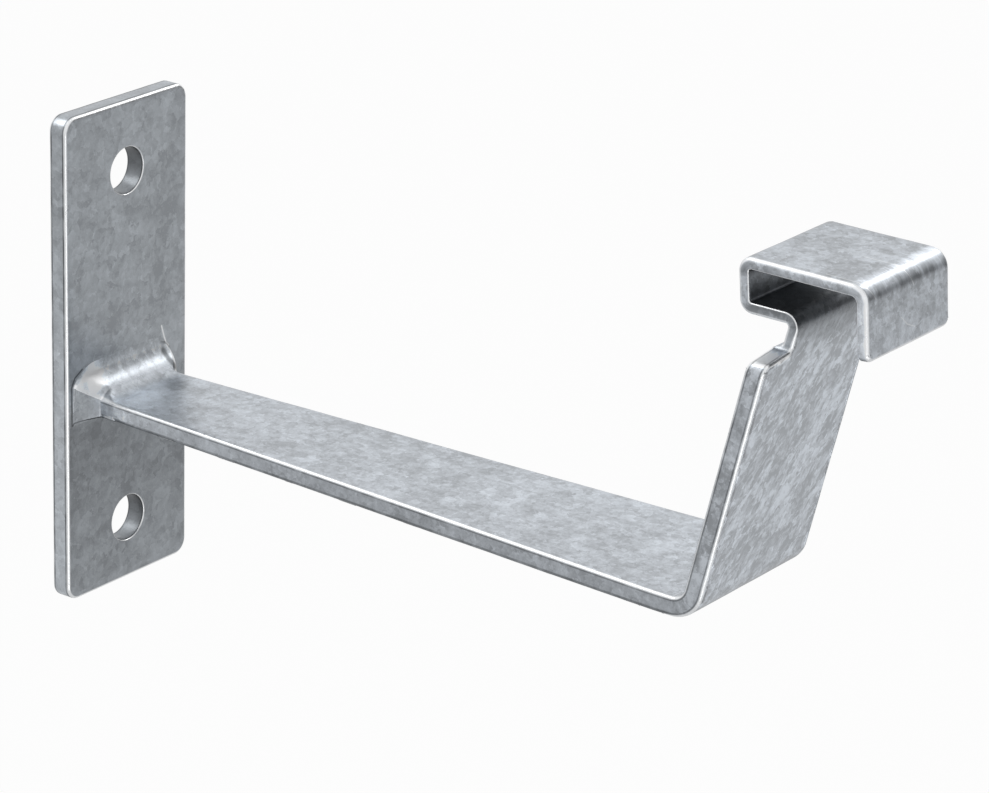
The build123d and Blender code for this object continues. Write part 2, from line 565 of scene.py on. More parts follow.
def skin_group() -> None:
    """Makes the geometry group that gives metal the slightly uneven skin of a dipped coating.

    The skin only sinks, so that a piece keeps its outer size.
    """
    depths = {"Broad Depth": 0.00012, "Fine Depth": 0.00004}
    widths = {"Broad Width": 0.012, "Fine Width": 0.003}
    made = geometry_tree("dipped_skin", depths | widths | {"Seed": 3.0})
    given = made.add("NodeGroupInput").outputs
    position = made.add("GeometryNodeInputPosition").outputs[0]
    parts = []
    for depth, width in zip(depths, widths):
        scale = made.math("DIVIDE", 1.0, given[width])
        sockets = {"Vector": position, "W": given["Seed"], "Scale": scale, "Detail": 1.0}
        noise = made.add("ShaderNodeTexNoise", sockets, noise_dimensions="4D").outputs[0]
        parts.append(made.math("MULTIPLY", noise, given[depth]))
    normal = made.add("GeometryNodeInputNormal").outputs[0]
    offset = made.scaled(normal, made.math("MULTIPLY", made.total(parts), -1.0))
    moved = made.add("GeometryNodeSetPosition", {"Geometry": given["Geometry"], "Offset": offset})
    made.add("NodeGroupOutput", {"Geometry": moved.outputs[0]})


def finish_tree(made: NodeMaker, geometry: NodeSocket, material: Material) -> None:
    """Ends a piece's geometry tree: its skin, real geometry, smooth shading and its material.

    Args:
        made: maker of the tree's nodes.
        geometry: what the tree has made.
        material: the piece's finish.
    """
    skin = made.group("dipped_skin", {"Geometry": geometry})
    real = made.add("GeometryNodeRealizeInstances", {"Geometry": skin.outputs[0]})
    smooth = made.add("GeometryNodeSetShadeSmooth", {"Geometry": real.outputs[0]})
    dressed = made.add("GeometryNodeSetMaterial", {"Geometry": smooth.outputs[0], "Material": material})
    made.add("NodeGroupOutput", {0: dressed.outputs[0]})


def baked(name: str, mesh: Mesh, tree: NodeTree, sizes: dict[str, float]) -> Object:
    """Runs a geometry tree on a mesh and keeps the plain result.

    Args:
        name: the piece's name.
        mesh: what the tree starts from.
        tree: the geometry tree.
        sizes: value of each named input.

    Returns:
        The piece, with no modifier left.
    """
    piece = linked(name, mesh)
    modifier = piece.modifiers.new("shape", "NODES")
    modifier.node_group = tree
    sockets = {item.name: item.identifier for item in tree.interface.items_tree if item.in_out == "INPUT"}
    for key, value in sizes.items():
        modifier[sockets[key]] = value
    bpy.context.view_layer.update()
    graph = bpy.context.evaluated_depsgraph_get()
    shown = piece.evaluated_get(graph)
    result = bpy.data.meshes.new_from_object(shown, preserve_all_data_layers=True, depsgraph=graph)
    result.name = name
    piece.modifiers.clear()
    piece.data = result
    bpy.data.meshes.remove(mesh)
    return piece


def baked_plain(name: str, mesh: Mesh, material: Material) -> Object:
    """Gives a mesh that needs no fold its skin and material, and bakes it.

    Args:
        name: the piece's name.
        mesh: its mesh.
        material: its finish.

    Returns:
        The piece.
    """
    made = geometry_tree(f"{name}_skin", {})
    finish_tree(made, made.add("NodeGroupInput").outputs[0], material)
    return baked(name, mesh, made.tree, {})


@dataclass
class WallPlate:
    """Flat drilled plate that is fixed to the wall, in millimetres.

    Painted light and shade are given as stops (height, share of the full brightness), and the painted
    shade of a hole's wall from its lowest point to its highest.
    """

    width: float = 40.0
    thickness: float = 5.0
    top: float = 57.0
    bottom: float = -55.5
    corner: float = 3.5
    hole: float = 10.5
    pitch: float = 82.0
    edge: float = 0.85
    hole_edge: float = 0.4
    hole_points: int = 72
    grid: float = 1.1
    side_depth: float = 0.45
    top_painted_shade: float = 0.74
    front_painted_shade: Stops = ((-55.5, 0.84), (-36.0, 0.74), (-15.0, 0.6), (-11.0, 0.85), (0.0, 1.0))
    side_painted_shading: Stops = ((0.0, 0.98), (8.0, 0.95), (17.0, 0.74))
    bore_painted_shade: tuple[float, float, float] = (0.5, 0.3, 0.16)
    bore_blend: tuple[float, float] = (0.02, 0.35)

    def loops(self) -> list[SheetLoop]:
        """Outline and the two holes, with the first axis up the plate.

        Returns:
            The plate's three loops.
        """
        half = self.width / 2
        ends = ((self.bottom, -half), (self.top, -half), (self.top, half), (self.bottom, half))
        corners = [Corner(x, y, self.corner) for x, y in ends]
        rows = np.arange(self.bottom, self.top, self.grid)
        outline = divided(rounded_loop(corners), self.grid, rows)
        loops = [SheetLoop(outline, np.full(len(outline), self.edge))]
        for middle in (-self.pitch / 2, self.pitch / 2):
            angles = -np.arange(self.hole_points) / self.hole_points * 2 * math.pi
            radius = self.hole / 2
            circle = np.column_stack([middle + radius * np.cos(angles), radius * np.sin(angles)])
            loops.append(SheetLoop(circle, np.full(len(circle), self.hole_edge)))
        return loops

    def shade(self, flat: np.ndarray) -> np.ndarray:
        """Painted shade on the plate: below the arm, on the top face, on the upper sides and in the holes.

        Args:
            flat: points in the flat plate.

        Returns:
            Share of the full brightness at each point.
        """
        height, across, depth = flat.T
        # Painted shadow of the arm on the front face, below it
        tone = np.where(depth > self.thickness / 2, between(height, self.front_painted_shade), 1.0)
        on_side = np.abs(across) > self.width / 2 - self.side_depth
        # Painted light and shade on the sides, darker towards the top
        tone = np.where(on_side, between(height, self.side_painted_shading), tone)
        # Painted shade on the top face
        tone = np.where(height > self.top - self.side_depth, self.top_painted_shade, tone)
        radius = self.hole / 2
        bore = np.ones(len(flat))
        for middle in (-self.pitch / 2, self.pitch / 2):
            up = height - middle
            away = np.hypot(up, across) - radius
            # Painted shade in the holes, darkest at the top of each bore
            dark = np.interp(up, [-radius, 0.0, radius], self.bore_painted_shade)
            bore *= dark + (1 - dark) * np.interp(away, self.bore_blend, [0.0, 1.0])
        return tone * bore

    def build(self, material: Material) -> Object:
        """Makes the plate.

        Args:
            material: its finish.

        Returns:
            The piece.
        """
        half = self.width / 2
        columns = np.arange(self.bottom + self.grid, self.top, self.grid)
        rows = np.linspace(-half, half, round(self.width / self.grid) + 1)[1:-1]
        sheet = Sheet(self.loops(), lambda x: np.full(len(x), self.thickness), columns, rows)

        def place(p: np.ndarray) -> np.ndarray:
            """Stands the flat plate up against the wall."""
            return np.column_stack([p[:, 2], -p[:, 1], p[:, 0]])

        mesh = sheet.mesh("plate_blank", place, self.shade, lambda p: place(p) - np.array(GRAIN_ORIGIN))
        return baked_plain("galvanised_plate", mesh, material)


@dataclass
class StrapEnd:
    """Sizes of the strap where it meets the plate, in millimetres."""

    plate_thickness: float = 5.0
    thickness: float = 4.5
    width_at_wall: float = 24.0
    widening: float = 7.5 / 155.0
    seat: float = -8.2
    edge: float = 0.85


@dataclass
class HookStrap(StrapEnd):
    """Flat bar folded into the arm, the upstand and the hook, in millimetres.

    Painted light and shade are given as stops (place, share of the full brightness): along the bar
    for the root, and in degrees round the fold for the front fold.
    """

    width: float = 39.0
    bend_reach: float = 164.8
    bend_inner: float = 3.2
    lean: float = math.radians(13.0)
    taper_end: float = 160.0
    taper_blend: float = 120.0
    hook_width: float = 30.3
    shoulder: float = 45.9
    shoulder_fall: float = 1.2
    shoulder_corner: float = 2.4
    notch_corner: float = 0.8
    hook_thickness: float = 2.6
    neck: float = 5.0
    hook_height: float = 11.7
    hook_setback: float = 14.9
    hook_length: float = 29.5
    lip_drop: float = 15.6
    rake: float = math.radians(5.3)
    fold_inner: float = 0.5
    lip_fold_inner: float = 1.4
    lip_corner: float = 2.0
    hook_edge: float = 0.95
    pocket_edge: float = 0.4
    step_outer: float = 0.6
    level_before: float = 14.0
    level_run: float = 12.0
    level_after: float = 1.3
    streak: float = 0.2
    slant: float = 0.3
    grid: float = 0.85
    grid_gap: float = 0.4
    step_points: int = 8
    fold_least: int = 14
    fold_turn: float = math.radians(6)
    side_depth: float = 0.45
    upstand_painted_light: float = 0.14
    root_painted_light: Stops = (
        (0, 1.5), (4, 1.5), (6.5, 1.9), (9, 1.9), (11, 1.5), (15, 1.25), (20, 1.1), (30, 1.05), (60, 1.0)
    )
    front_fold_painted_highlight: Stops = (
        (-60, 0.88), (-25, 0.9), (-8, 1.0), (0, 1.24), (10, 1.38), (20, 1.0), (30, 0.92), (40, 0.62),
        (50, 0.88), (60, 1.15), (70, 0.94), (80, 0.82), (90, 1.0), (110, 0.9), (160, 1.0)
    )

    def outer_x(self, height: float) -> float:
        """X of the upstand's outer face at a height.

        Args:
            height: the height.

        Returns:
            The distance from the wall.
        """
        radius = self.bend_inner + self.thickness
        foot_x = self.bend_reach + radius * math.cos(self.lean)
        foot_height = self.seat + self.bend_inner - radius * math.sin(self.lean)
        return foot_x + (height - foot_height) * math.tan(self.lean)

    def outer_line(self) -> list[Corner]:
        """Line that the bar's outer face follows from the wall to the lip.

        Returns:
            Its corners, in x and height, with the radius of each fold.
        """
        underside = self.seat - self.thickness
        flange = self.shoulder + self.neck + self.hook_thickness
        top = self.shoulder + self.neck + self.hook_height
        inner_top = top - self.hook_thickness
        back = self.outer_x(self.shoulder + self.neck) - self.hook_setback
        slope = math.tan(self.rake)
        back_inner = back + self.hook_thickness
        front_inner = back + self.hook_length - self.hook_thickness
        lip = top - self.lip_drop
        return [
            Corner(self.plate_thickness, underside),
            Corner(self.outer_x(underside), underside, self.bend_inner + self.thickness),
            Corner(self.outer_x(flange), flange, self.fold_inner + self.hook_thickness),
            Corner(back_inner + (top - flange) * slope, flange, self.fold_inner),
            Corner(back_inner + self.hook_thickness * slope, inner_top, self.fold_inner),
            Corner(front_inner + self.hook_thickness * slope, inner_top, self.lip_fold_inner),
            Corner(front_inner + self.lip_drop * slope, lip),
        ]

    def folds(self) -> tuple[list[Fold], float]:
        """Folds along the flat bar.

        Returns:
            The folds in order from the wall, and the flat bar's length.
        """
        line = self.outer_line()
        names = ("bend", "neck", "back", "top", "front")
        folds: list[Fold] = []
        at, spent = 0.0, 0.0
        for before, here, after, name in zip(line, line[1:], line[2:], names):
            a = np.array([here.x - before.x, here.y - before.y])
            b = np.array([after.x - here.x, after.y - here.y])
            cross = a[0] * b[1] - a[1] * b[0]
            angle = math.acos(float(a @ b / np.linalg.norm(a) / np.linalg.norm(b)))
            reach = here.radius * math.tan(angle / 2)
            start = at + float(np.linalg.norm(a)) - spent - reach
            folds.append(Fold(name, start, angle, here.radius, Turn.UP if cross > 0 else Turn.DOWN))
            at, spent = folds[-1].end, reach
        last = math.hypot(line[-1].x - line[-2].x, line[-1].y - line[-2].y)
        return folds, at + last - spent

    def shoulder_station(self, folds: list[Fold]) -> float:
        """Station of the outer face at the shoulder's height."""
        foot_height = self.seat + self.bend_inner - folds[0].radius * math.sin(self.lean)
        return folds[0].end + (self.shoulder - foot_height) / math.cos(self.lean)

    def stations(self, folds: list[Fold], length: float) -> np.ndarray:
        """Stations across which the bar gets points: even on its flats, close in its folds and at the step.

        Args:
            folds: the bar's folds.
            length: its flat length.

        Returns:
            The stations in order.
        """
        step = self.shoulder_station(folds)
        root = self.thickness - self.hook_thickness - self.step_outer
        quarter = np.radians(np.linspace(0, 90, self.step_points))
        outer = self.step_outer
        special = [step - outer + outer * np.sin(quarter), step + root * (1 - np.cos(quarter))]
        for fold in folds:
            count = max(self.fold_least, math.ceil(fold.angle / self.fold_turn))
            special.append(np.linspace(fold.start, fold.end, count + 1))
        fixed = np.unique(np.round(np.concatenate(special), 4))
        even = np.arange(self.grid, length, self.grid)
        near = np.abs(even[:, None] - fixed[None, :]).min(axis=1)
        return np.sort(np.concatenate([even[near > self.grid_gap * self.grid], fixed]))

    def tall(self, along: np.ndarray, step: float) -> np.ndarray:
        """Thickness of the bar, with the rounded step down to the neck.

        Args:
            along: stations.
            step: station of the step.

        Returns:
            The thickness at each station.
        """
        outer = self.step_outer
        root = self.thickness - self.hook_thickness - outer
        over = np.clip(along - step + outer, 0, outer)
        under = np.clip(step + root - along, 0, root)
        full = self.thickness - outer + np.sqrt(outer**2 - over**2)
        thin = self.hook_thickness + root - np.sqrt(root**2 - under**2)
        return np.where(along <= step, full, thin)

    def slanted(self, flat: np.ndarray, step: float, neck_start: float) -> np.ndarray:
        """Slants the step across the bar's thickness, so that the shoulder is level once folded.

        Args:
            flat: points in the flat bar.
            step: station of the shoulder.
            neck_start: station where the neck's fold starts.

        Returns:
            The slanted points.
        """
        before = np.clip((flat[:, 0] - step + self.level_before) / self.level_run, 0, 1)
        after = np.clip((neck_start - flat[:, 0]) / (neck_start - step - self.level_after), 0, 1)
        shear = flat[:, 2] * math.tan(self.lean) * before * after
        return np.column_stack([flat[:, 0] - shear, flat[:, 1], flat[:, 2]])

    def outline(self, length: float, step: float) -> list[Corner]:
        """Outline of the flat bar: taper, shoulder, notch and hook.

        Args:
            length: flat length.
            step: station of the shoulder.

        Returns:
            Its corners, anticlockwise.
        """
        wall, half = self.width_at_wall / 2, self.width / 2
        knee = self.taper_end - self.plate_thickness
        neck = half - self.hook_width
        end = self.edge + 0.1
        return [
            Corner(0, -wall, end),
            Corner(knee, -half, self.taper_blend),
            Corner(step - self.shoulder_fall, -half, self.shoulder_corner),
            Corner(step, neck, self.notch_corner),
            Corner(length, neck, self.lip_corner),
            Corner(length, half, self.lip_corner),
            Corner(knee, half, self.taper_blend),
            Corner(0, wall, end),
        ]

    def edge_loop(self, folds: list[Fold], length: float, stations: np.ndarray) -> SheetLoop:
        """Outline of the flat bar with its rims, which are sharper inside the hook.

        Args:
            folds: the bar's folds.
            length: its flat length.
            stations: where its long edges get points.

        Returns:
            The edge of the sheet.
        """
        corners = self.outline(length, self.shoulder_station(folds))
        loop = divided(rounded_loop(corners), self.grid, stations)
        bend, neck = folds[:2]
        turning = [neck.start - 2, neck.start + 1]
        rounding = np.interp(loop[:, 0], turning, [self.edge, self.hook_edge])
        under = np.interp(loop[:, 0], turning, [self.edge, self.pocket_edge])
        # Along the arm the lower rim gets the painted dark line instead of the painted highlight
        shaded_rim = np.interp(loop[:, 0], [bend.start - 4, bend.start + 2], [1.0, 0.0])
        return SheetLoop(loop, rounding, under, shaded_rim)

    def shade(self, flat: np.ndarray, folds: list[Fold], length: float) -> np.ndarray:
        """Painted light and shade on the bar: in the hook, on its sides and at its front fold.

        Args:
            flat: points in the flat bar.
            folds: the bar's folds.
            length: its flat length.

        Returns:
            Share of the full brightness at each point.
        """
        bend, neck, back, top, front = folds
        along, across, depth = flat.T
        inner = np.clip(1 - depth / self.hook_thickness, 0, 1) ** 0.5
        # Painted shade inside the hook's pocket
        pocket_painted_shade = between(
            along,
            (
                (neck.start - 7, 1.0), (neck.start + 1, 0.42), (back.start, 0.4), (back.end, 0.8),
                (top.start - 1, 0.8), (top.start, 0.3), (length - 2, 0.4), (length, 0.9)
            ),
        )
        step = self.shoulder_station(folds)
        cut = step - self.shoulder_fall
        # Painted light on the hook's near side and on the shoulder
        cheek_painted_light = between(
            along,
            (
                (cut - 0.4, 1.0), (cut, 3.6), (step - 0.6, 3.2), (step - 0.1, 1.0), (step + 4, 1.2),
                (top.start, 1.5), (top.end, 2.3), (front.start, 2.4), (front.end, 3.3)
            ),
        )
        near = np.clip((self.width / 2 - self.hook_width + 0.6 - across) / 0.5, 0, 1)
        # Painted highlight and shade bands round the front fold
        fold_painted_highlight = between(np.degrees((along - front.start) / front.radius), self.front_fold_painted_highlight)
        on_side = np.abs(across) > self.width_at_wall / 2 + along * self.widening - self.side_depth
        leaning = (along > bend.end) & (along < neck.start)
        facing_wall = np.clip(1 - depth / self.thickness, 0, 1) ** 0.5
        tone = (1 + (pocket_painted_shade - 1) * inner) * (1 + (cheek_painted_light - 1) * near)
        tone = tone * (1 + (fold_painted_highlight - 1) * (1 - inner) * (along > top.start))
        # Painted light on the bar's sides near the root
        tone = tone * (1 + (between(along, self.root_painted_light) - 1) * on_side)
        # Painted light on the upstand's outer face
        return tone * (1 + self.upstand_painted_light * facing_wall * leaning)

    def build(self, material: Material) -> Object:
        """Makes the flat bar, folds it and gives it its skin.

        Args:
            material: its finish.

        Returns:
            The piece.
        """
        folds, length = self.folds()
        step = self.shoulder_station(folds)
        stations = self.stations(folds, length)
        half = self.width / 2
        rows = np.linspace(-half, half, round(self.width / self.grid) + 1)[1:-1]
        bend_end, neck_start = folds[0].end, folds[1].start

        def grain(flat: np.ndarray) -> np.ndarray:
            """Draws the coating's pattern out into slanting streaks on the upstand."""
            drawn = np.clip(flat[:, 0] - bend_end, 0, neck_start - bend_end)
            return flat - np.column_stack([drawn * self.streak, drawn * self.slant, np.zeros(len(flat))])

        edge = self.edge_loop(folds, length, stations)
        sheet = Sheet([edge], lambda along: self.tall(along, step), stations, rows)
        mesh = sheet.mesh(
            "strap_blank",
            lambda flat: self.slanted(flat, step, neck_start),
            lambda flat: self.shade(flat, folds, length),
            grain,
        )
        values = {f"{fold.name} {key}": value for fold in folds for key, value in fold.inputs().items()}
        made = geometry_tree("folded_strap", dict.fromkeys(values, 0.0))
        given = made.add("NodeGroupInput").outputs
        shape = given["Geometry"]
        for fold in reversed(folds):
            sockets = {key: given[f"{fold.name} {key}"] for key in fold.inputs()}
            shape = made.group("press_fold", {"Geometry": shape} | sockets).outputs[0]
        start = (self.plate_thickness * MM, 0.0, (self.seat - self.thickness) * MM)
        shape = made.add("GeometryNodeTransform", {"Geometry": shape, "Translation": start}).outputs[0]
        finish_tree(made, shape, material)
        return baked("galvanised_strap", mesh, made.tree, values)


@dataclass
class RootWeld(StrapEnd):
    """Smooth concave weld round the strap's end, in millimetres.

    Painted light and shade are given as stops (distance from the plate, share of the full
    brightness); for the near side they are stops across the weld.
    """

    rise: float = 7.5
    drop: float = 0.7
    near_spread: float = 6.0
    far_spread: float = 4.0
    run_top: float = 6.4
    run_near: float = 2.7
    run_side: float = 4.0
    run_bottom: float = 4.0
    toe: float = 0.02
    feather: float = 0.9
    crest_kink: float = 25.0
    near_crest: float = 3.6
    far_crest: float = 5.0
    far_lean: float = 0.45
    low_edge: float = 0.45
    fusion: float = 0.4
    fullness: float = 0.3
    rings: int = 40
    corner_points: int = 8
    crest_points: int = 20
    side_points: int = 14
    run_points: int = 60
    # ROUND along the crests, which puts a painted highlight on them
    crest_rounds: Stops = ((0.0, 0.5), (0.3, 0.45), (1.2, 0.0))
    # Painted highlight band and painted shade on the weld's top, which place its highlight
    top_painted_light: Stops = (
        (0.0, 1.05), (0.1, 1.5), (0.25, 2.2), (0.5, 1.95), (0.9, 1.35), (1.3, 1.7), (1.8, 1.5),
        (2.1, 1.05), (2.4, 0.68), (3.0, 0.42), (3.8, 0.48), (4.6, 0.72), (5.6, 0.78), (6.4, 1.0)
    )
    near_painted_light: Stops = ((-16.0, 1.15), (-14.0, 1.35), (-12.0, 2.1), (-11.0, 1.8), (-8.0, 1.0))
    near_reach: Stops = ((3.8, 1.0), (5.0, 0.0))
    side_painted_shading: Stops = ((2.4, 0.85), (2.8, 0.8), (3.4, 1.1), (4.2, 1.8), (5.5, 1.8), (6.4, 1.9))
    side_from: float = 0.7

    def ring(
        self, sides: tuple[float, float], low: float, high: float, radii: tuple[float, float, float]
    ) -> tuple[np.ndarray, np.ndarray]:
        """Rounded rectangle with crests at its upper corners. Its number of points is always the same.

        Args:
            sides: how far its near and its far side are from the middle.
            low: height of its lower side.
            high: height of its upper side.
            radii: radius of its lower, its near upper and its far upper corners.

        Returns:
            Points (y, z), anticlockwise seen from outside the wall, and how far round its edge each lies.
        """
        near, far = sides
        below, near_above, far_above = radii
        eased = np.linspace(0, 1, self.crest_points) ** 2
        even = np.linspace(0, 90, self.corner_points)
        upper = self.crest_kink + (90 - self.crest_kink) * eased
        arcs = [
            (far - below, low + below, below, -90 + even),
            (far - far_above, high - far_above, far_above, upper),
            (near_above - near, high - near_above, near_above, 180 - upper[::-1]),
            (below - near, low + below, below, 180 + even),
        ]
        arc = eased * math.radians(90 - self.crest_kink)
        far_edge = between(arc * far_above, self.crest_rounds)
        near_edge = between(arc * near_above, self.crest_rounds)
        # ROUND round the ring: painted highlights on the upper crests, a painted dark line at the near lower
        # corner
        plain = np.full(self.corner_points, NO_RIM)
        softened = plain.copy()
        softened[1:-1] = 1.0
        edges = [plain, far_edge, near_edge[::-1], softened]
        corners = []
        for y, z, radius, degrees in arcs:
            angles = np.radians(degrees)
            corners.append(np.column_stack([y + radius * np.cos(angles), z + radius * np.sin(angles)]))
        points: list[np.ndarray] = []
        around: list[np.ndarray] = []
        side = np.linspace(0, 1, self.side_points)
        across = np.linspace(0, 1, self.run_points)
        runs = [1 - side[::-1] ** 2, across, side**2, across]
        fills = [0.0, 0.0, NO_RIM, NO_RIM]
        for k, (corner, edge, run, fill) in enumerate(zip(corners, edges, runs, fills)):
            after = corners[(k + 1) % 4][0]
            shares = run[1:-1, None]
            points += [corner, corner[-1] + (after - corner[-1]) * shares]
            around += [edge, np.full(len(shares), fill)]
        return np.concatenate(points), np.concatenate(around)

    def leg(self, full: float, run: float, along: float, fullness: float = 0.0) -> float:
        """Height of a hollow face of the weld that starts along the plate and ends along the strap.

        Args:
            full: its height on the plate.
            run: how far it runs along the strap.
            along: distance from the plate.
            fullness: how much its middle is filled out.

        Returns:
            The height above the strap.
        """
        share = left(along, run)
        hollow = 1 - math.sqrt(1 - share * share)
        return self.toe + full * (hollow + (share**1.7 - hollow) * fullness * (1 - share**8))

    def layers(self) -> tuple[list[np.ndarray], list[np.ndarray]]:
        """Sections of the weld from inside the plate to the strap's surface and back inside.

        Returns:
            Points of each section, and how far round its edge each lies.
        """
        underside = self.seat - self.thickness
        points: list[np.ndarray] = []
        around: list[np.ndarray] = []
        turns = [k / (self.rings - 1) * math.pi / 2 for k in range(self.rings)]
        hidden = self.toe + self.fusion
        # Each section: distance along the strap, lift off the plate or the strap, extra width all round
        feather, end = self.feather, self.run_top
        sections = [(0.0, -0.2, feather + 0.5), (0.0, -0.03, feather), (0.0, -0.028, feather - 0.04)]
        sections += [(end * (1 - math.cos(turn)), self.toe, 0.0) for turn in turns]
        sections += [(end, 0.4, -0.03), (end, 0.5, -0.045), (end, 0.6, -0.07)]
        sections += [(end, 0.6, -hidden), (end, -end - 0.2, -hidden)]
        crest_lift = 1 - math.sin(math.radians(self.crest_kink))
        for along, lift, extra in sections:
            middle = self.width_at_wall / 2 + self.widening * along + extra
            near = middle + (self.toe + self.near_spread * left(along, self.run_near))
            far = middle + (self.toe + self.far_spread * left(along, self.run_side))
            high = self.seat + self.leg(self.rise, self.run_top, along, self.fullness) + extra
            low = underside - self.leg(self.drop, self.run_bottom, along) - extra
            radii = [self.low_edge]
            for crest, run in ((self.near_crest, self.run_near), (self.far_crest, self.run_side)):
                crest_height = self.seat + crest * left(along, run) - self.edge * crest_lift
                radii.append(max(self.edge, (high - extra - crest_height) / crest_lift) + extra)
            ring, edge = self.ring((near, far), low, high, tuple(radii))
            lean = self.far_lean * left(along, self.run_side)
            ring[:, 0] -= lean * np.clip(ring[:, 1] - self.seat, 0, None) * np.clip(ring[:, 0] / far, 0, 1)
            points.append(np.column_stack([np.full(len(ring), self.plate_thickness + along + lift), ring]))
            around.append(edge)
        return points, around

    def build(self, material: Material) -> Object:
        """Makes the weld as a closed ring.

        Args:
            material: its finish.

        Returns:
            The piece.
        """
        layers, around = self.layers()
        size, count = len(layers[0]), len(layers)
        points = np.concatenate(layers)
        faces = []
        for i in range(count):
            j = (i + 1) % count
            for k in range(size):
                after = (k + 1) % size
                faces.append([i * size + k, i * size + after, j * size + after, j * size + k])
        mesh = bpy.data.meshes.new("weld_ring")
        mesh.from_pydata((points * MM).tolist(), [], faces)
        store(mesh, Attr.STATION, points[:, 0] * MM)
        store(mesh, Attr.ROUND, np.concatenate(around))
        store(mesh, Attr.GRAIN, (points - np.array(GRAIN_ORIGIN)) * MM)
        out = points[:, 0] - self.plate_thickness
        # Painted light towards the near side, then the painted light and shade of the top and the sides
        near = 1 + (between(points[:, 1], self.near_painted_light) - 1) * between(out, self.near_reach)
        on_side = np.concatenate(around) > self.side_from
        lit = between(out, self.top_painted_light) * near
        store(mesh, Attr.SHADE, np.where(on_side, between(out, self.side_painted_shading), lit))
        return baked_plain("dressed_weld", mesh, material)


def shader_tree(name: str, inputs: dict[str, float | None], outputs: Sequence[str]) -> NodeMaker:
    """Starts a shader group whose outputs are numbers.

    Args:
        name: the group's name.
        inputs: name and default value of each input, or None for a vector.
        outputs: name of each output.

    Returns:
        A maker for its nodes.
    """
    sockets = {key: (VECTOR if value is None else FLOAT, value) for key, value in inputs.items()}
    return new_tree(name, "ShaderNodeTree", sockets, dict.fromkeys(outputs, FLOAT))


def facet_group() -> None:
    """Makes the shader group of zinc crystals: torn cells, each with a tone and a slant of its own."""
    made = shader_tree("zinc_facets", {"Vector": None, "Size": 0.005, "Tear": 0.4, "Seed": 0.0}, ["Tone"])
    given = made.add("NodeGroupInput").outputs
    middle_grey = (0.5, 0.5, 0.5)
    scale = made.math("DIVIDE", 1.0, given["Size"])
    seeded = made.vector("ADD", given["Vector"], given["Seed"])
    torn = made.noise(seeded, scale, Detail=3.0, Roughness=0.6).outputs["Color"]
    push = made.math("MULTIPLY", given["Size"], made.math("MULTIPLY", given["Tear"], 4.0))
    centred = made.vector("SUBTRACT", torn, middle_grey)
    moved = made.vector("ADD", seeded, made.vector("MULTIPLY", centred, push))
    cells = made.add("ShaderNodeTexVoronoi", {"Vector": moved, "Scale": scale}).outputs
    away = made.vector("SUBTRACT", moved, cells["Position"])
    slant = made.vector("NORMALIZE", made.vector("SUBTRACT", cells["Color"], middle_grey))
    lean = made.math("MULTIPLY", made.measure("DOT_PRODUCT", away, slant), scale)
    tone = made.measure("DOT_PRODUCT", cells["Color"], (0.34, 0.33, 0.33))
    made.add("NodeGroupOutput", {"Tone": made.math("MULTIPLY_ADD", lean, 0.6, tone)})


def spangle_group() -> None:
    """Makes the shader group of the dull zinc pattern: crystals of three sizes, clouds, wisps and grain."""
    made = shader_tree("zinc_spangle", {"Vector": None, "Size": 0.006, "Contrast": 1.0}, ["Tone", "Grain"])
    given = made.add("NodeGroupInput").outputs
    where = given["Vector"]
    weighted = []
    # Each kind of crystal: share of the full size, tear, seed and weight
    crystals = ((1.0, 0.35, 1.0, 0.36), (0.48, 0.4, 4.0, 0.5), (0.24, 0.45, 9.0, 0.5))
    for share, tear, seed, weight in crystals:
        size = made.math("MULTIPLY", given["Size"], share)
        sockets = {"Vector": where, "Size": size, "Tear": tear, "Seed": seed}
        weighted.append((made.group("zinc_facets", sockets).outputs[0], weight))
    cloud_scale, wisp_scale = (made.math("DIVIDE", share, given["Size"]) for share in (0.45, 1.6))
    clouds = made.noise(where, cloud_scale, Detail=5.0, Distortion=0.6)
    wisps = made.noise(where, wisp_scale, Detail=5.0, Roughness=0.7, Distortion=1.6)
    weighted += [(clouds.outputs[0], 0.9), (wisps.outputs[0], 1.1)]
    parts = [made.math("MULTIPLY", made.math("SUBTRACT", part, 0.5), weight) for part, weight in weighted]
    grain = made.noise(where, 2600.0, Detail=2.0).outputs[0]
    tone = made.math("MULTIPLY_ADD", made.total(parts), given["Contrast"], 0.5)
    made.add("NodeGroupOutput", {"Tone": tone, "Grain": grain})


def rim_group() -> None:
    """Makes the shader group of the rim: a bright crest, partly wear and partly painted highlight, and a thin
    painted dark reflection beside it.
    """
    made = shader_tree("rim_highlight_and_wear", {"Vector": None, "Round": 0.0}, ["Bright", "Dark"])
    given = made.add("NodeGroupInput").outputs
    uneven = made.noise(given["Vector"], 220.0, Detail=2.0).outputs[0]
    at = made.math("ADD", given["Round"], made.math("MULTIPLY_ADD", uneven, 0.08, -0.04))
    bright = made.math("MULTIPLY", made.ramp(at, 0.02, 0.3), made.ramp(at, 0.96, 0.7))
    dark = made.math("MULTIPLY", made.ramp(at, 0.72, 1.0), made.ramp(at, 1.3, 1.02))
    strength = made.ramp(uneven, 0.3, 0.6, 0.5, 1.0)
    made.add("NodeGroupOutput", {"Bright": bright, "Dark": made.math("MULTIPLY", dark, strength)})


